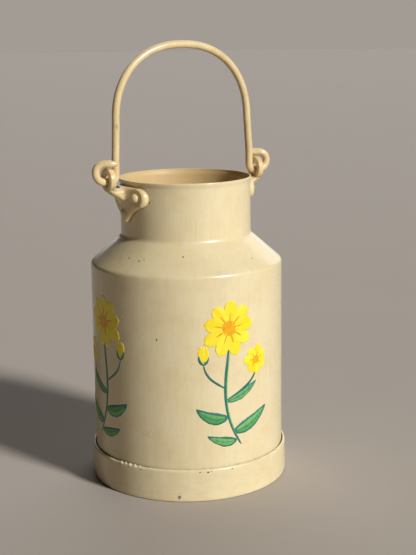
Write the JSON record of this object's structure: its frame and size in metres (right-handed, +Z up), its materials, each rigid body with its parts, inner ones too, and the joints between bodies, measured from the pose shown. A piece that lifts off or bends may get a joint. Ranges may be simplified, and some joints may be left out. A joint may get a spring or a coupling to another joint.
{
  "type": "milk can",
  "caption": "Painted metal milk can with sloping shoulder, open neck, foot hoop and a wire bail that swings in two riveted ears.",
  "frame": {"origin": "centre of the foot hoop's underside, on the floor", "axes": "+Z up along the can's axis, +X along the bail's hinge line towards one ear, +Y across it"},
  "size_m": [0.2368, 0.228, 0.4999],
  "materials": {
    "can_paint": "brushed-on gloss cream paint on sheet metal, vertical brush marks",
    "ear_paint": "gloss cream paint pooled over castings and rivets",
    "bail_paint": "gloss cream paint over bent rod, worn on the legs"
  },
  "bodies": {
    "can": {"can_shell": "can_paint", "can_breast": "can_paint", "foot_hoop": "can_paint", "ear_right": "ear_paint", "rivet_right_front": "ear_paint", "rivet_right_back": "ear_paint", "rivet_right_low": "ear_paint", "ear_left": "ear_paint", "rivet_left_front": "ear_paint", "rivet_left_back": "ear_paint", "rivet_left_low": "ear_paint"},
    "bail": {"bail": "bail_paint"}
  },
  "joints": [
    {"name": "bail_hinge", "type": "hinge", "parent": "can", "child": "bail", "pos_m": [0, 0, 0.3492], "axis": [1, 0, 0], "range_deg": [-115, 115]}
  ]
}
